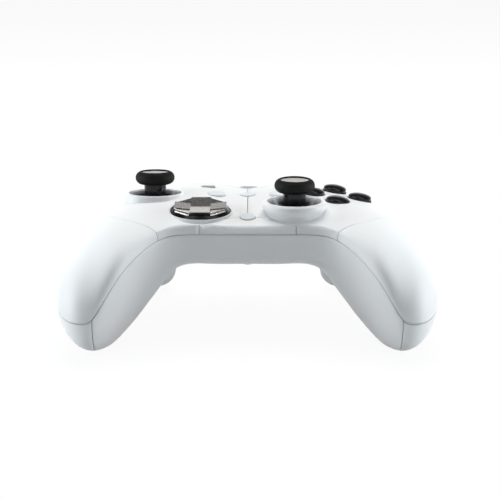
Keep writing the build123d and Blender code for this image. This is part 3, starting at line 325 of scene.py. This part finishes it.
def dish_blocks(reach):
    """Corners and top heights of the dish's four arms and four lower facets, out to a reach."""
    blocks = []
    rim = DISH_LOW + DISH_RISE
    for quarter in range(4):
        start = 0.0 if quarter % 2 == 0 else DISH_ARM
        arm = [(-DISH_ARM, start), (DISH_ARM, start), (DISH_ARM, reach), (-DISH_ARM, reach)]
        inner = DISH_LOW + DISH_RISE * start / DISH_REACH * DISH_START_SHARE
        blocks.append((turned(arm, quarter), (inner, inner, rim, rim)))
        facet = [(DISH_ARM, DISH_ARM), (reach, DISH_ARM), (DISH_ARM, reach)]
        low = DISH_LOW - DISH_STEP / 2
        blocks.append((turned(facet, quarter), (low, rim - DISH_STEP, rim - DISH_STEP)))
    return blocks


def make_dish():
    """The direction pad's thin metal dish: four raised arms with lower facets between them."""
    shape = bmesh.new()
    for points, tops in dish_blocks(DISH_REACH):
        prism(shape, points, tops, [top - DISH_THICKNESS for top in tops])
    return add_piece("dish_plate", PAD, shape, "dpad", "dish_metal", bevel=DISH_EDGE)


def make_core():
    """The black block that fills the space between the dish's plate and the base."""
    shape = bmesh.new()
    for points, tops in dish_blocks(CORE_REACH):
        prism(shape, points, [top - DISH_THICKNESS / 2 for top in tops], [CORE_UNDER for _ in tops])
    return add_piece("dish_core", PAD, shape, "dpad", "black_gloss")


def make_skirts():
    """The slanting metal strips that show below the dish's facets."""
    shape = bmesh.new()
    for quarter in range(4):
        turn = math.radians(45 + 90 * quarter)
        out = Vector((math.cos(turn), math.sin(turn)))
        along = Vector((-out.y, out.x))
        near, far = SKIRT_REACH
        half = SKIRT_HALF - SKIRT_TAPER
        corners = [out * near - along * SKIRT_HALF, out * far - along * half]
        corners += [out * far + along * half, out * near + along * SKIRT_HALF]
        high, low = SKIRT_TOPS
        bottoms = [low - SKIRT_DEPTH for _ in corners]
        prism(shape, [(p.x, p.y) for p in corners], (high, low, low, high), bottoms)
    return add_piece("dish_skirts", PAD, shape, "dpad", "dish_metal", bevel=DISH_EDGE)


PAD = deck_matrix(*PAD_PLACE, lean=PAD_LEAN)
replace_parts(make_dish(), "dpad_dish")
make_core()
make_skirts()

# Floor, light and camera
SEEN_RAYS = ("Is Camera Ray", "Is Glossy Ray", "Is Transmission Ray")
FLOOR_SIZE = 12.0
FLOOR_WHITE = 1.03
FLOOR_SHARE = 0.90
FILL = 0.125

# What reflections see of the world, as levels over the height of a direction: white at the horizon,
# dark above, and one bright band high up
WORLD_LEVELS = ((0.36, 0.39), (0.78, 0.06), (0.83, 1.6), (0.93, 1.6), (0.97, 0.06))

WARM = (1.0, 0.985, 0.965)
COOL = (0.93, 0.97, 1.0)
LAMP_AIM = (0, 0, 0.03)
LIGHTS = [
    ("overhead", (0.0, 0.50, 0.95), (1.0, 0.7), 11.2, WARM),
    ("front_top", (0.0, -0.45, 0.95), (0.9, 0.5), 1.1, COOL),
    ("left_side", (-0.90, 0.05, 0.12), (0.5, 0.6), 7.2, COOL),
    ("right_side", (0.90, 0.05, 0.12), (0.5, 0.6), 7.2, COOL),
]


def light_path(tree, names):
    """One when a ray is any of the named kinds."""
    path = tree.nodes.new("ShaderNodeLightPath")
    total = path.outputs[names[0]]
    for name in names[1:]:
        either = tree.nodes.new("ShaderNodeMath")
        either.operation = "MAXIMUM"
        tree.links.new(total, either.inputs[0])
        tree.links.new(path.outputs[name], either.inputs[1])
        total = either.outputs[0]
    return total


def make_floor():
    """A wide pale floor, whitened where it is seen, that still shows the object's shadow."""
    bpy.ops.mesh.primitive_plane_add(size=FLOOR_SIZE, location=(0, 0, 0))
    floor = bpy.context.object
    floor.name = "floor"
    material = bpy.data.materials.new("floor")
    material.use_nodes = True
    tree = material.node_tree
    shader = tree.nodes["Principled BSDF"]
    shader.inputs["Roughness"].default_value = 0.9
    shader.inputs["Base Color"].default_value = (0.76, 0.77, 0.78, 1)
    white = tree.nodes.new("ShaderNodeEmission")
    white.inputs["Color"].default_value = (1, 1, 1, 1)
    white.inputs["Strength"].default_value = FLOOR_WHITE
    share = tree.nodes.new("ShaderNodeMath")
    share.operation = "MULTIPLY"
    share.inputs[1].default_value = FLOOR_SHARE
    tree.links.new(light_path(tree, SEEN_RAYS), share.inputs[0])
    both = tree.nodes.new("ShaderNodeMixShader")
    tree.links.new(share.outputs[0], both.inputs[0])
    tree.links.new(shader.outputs[0], both.inputs[1])
    tree.links.new(white.outputs[0], both.inputs[2])
    tree.links.new(both.outputs[0], tree.nodes["Material Output"].inputs["Surface"])
    floor.data.materials.append(material)


def make_world():
    """White to the camera, levels by height to reflections, and a soft fill to everything else."""
    world = bpy.data.worlds.new("studio")
    bpy.context.scene.world = world
    world.use_nodes = True
    tree = world.node_tree
    fill = tree.nodes["Background"]
    fill.inputs["Color"].default_value = (0.82, 0.94, 1.0, 1)
    fill.inputs["Strength"].default_value = FILL
    seen = tree.nodes.new("ShaderNodeBackground")
    direction = tree.nodes.new("ShaderNodeTexCoord")
    split = tree.nodes.new("ShaderNodeSeparateXYZ")
    tree.links.new(direction.outputs["Generated"], split.inputs[0])
    ramp = tree.nodes.new("ShaderNodeValToRGB")
    ramp.color_ramp.elements[0].position = 0.20
    ramp.color_ramp.elements[0].color = (1, 1, 1, 1)
    ramp.color_ramp.elements[1].position = 0.52
    ramp.color_ramp.elements[1].color = (0.06, 0.06, 0.06, 1)
    for place, level in WORLD_LEVELS:
        ramp.color_ramp.elements.new(place).color = (level, level, level, 1)
    tree.links.new(split.outputs["Z"], ramp.inputs["Fac"])
    camera_only = tree.nodes.new("ShaderNodeLightPath")
    colour = tree.nodes.new("ShaderNodeMix")
    colour.data_type = "RGBA"
    colour.inputs[7].default_value = (1, 1, 1, 1)
    tree.links.new(camera_only.outputs["Is Camera Ray"], colour.inputs[0])
    tree.links.new(ramp.outputs["Color"], colour.inputs[6])
    tree.links.new(colour.outputs[2], seen.inputs["Color"])
    both = tree.nodes.new("ShaderNodeMixShader")
    tree.links.new(light_path(tree, SEEN_RAYS), both.inputs[0])
    tree.links.new(fill.outputs[0], both.inputs[1])
    tree.links.new(seen.outputs[0], both.inputs[2])
    tree.links.new(both.outputs[0], tree.nodes["World Output"].inputs["Surface"])


def area_light(name, place, size, power, colour):
    """A rectangular softbox that looks at the object."""
    lamp = bpy.data.lights.new(name, "AREA")
    lamp.shape = "RECTANGLE"
    lamp.size, lamp.size_y = size
    lamp.energy = power
    lamp.color = colour
    thing = bpy.data.objects.new(name, lamp)
    bpy.context.scene.collection.objects.link(thing)
    thing.location = place
    thing.rotation_euler = (Vector(LAMP_AIM) - Vector(place)).to_track_quat("-Z", "Y").to_euler()
    return thing


make_floor()
make_world()
lamps = {row[0]: area_light(*row) for row in LIGHTS}
lamps["overhead"].visible_glossy = False
lamps["front_top"].visible_glossy = False

camera_data = bpy.data.cameras.new("camera")
camera_data.lens = CAMERA_LENS
camera_data.sensor_width = CAMERA_SENSOR
camera_data.sensor_fit = "HORIZONTAL"
camera_data.clip_start = 0.05
camera = bpy.data.objects.new("camera", camera_data)
bpy.context.scene.collection.objects.link(camera)
camera.location = deck_matrix(*CAMERA_PLACE) @ Vector((0, 0, 0))
camera.rotation_euler = (math.pi / 2 - CAMERA_DOWN - DECK_TILT, 0, 0)
bpy.context.scene.camera = camera
bpy.context.scene.view_settings.view_transform = "Standard"
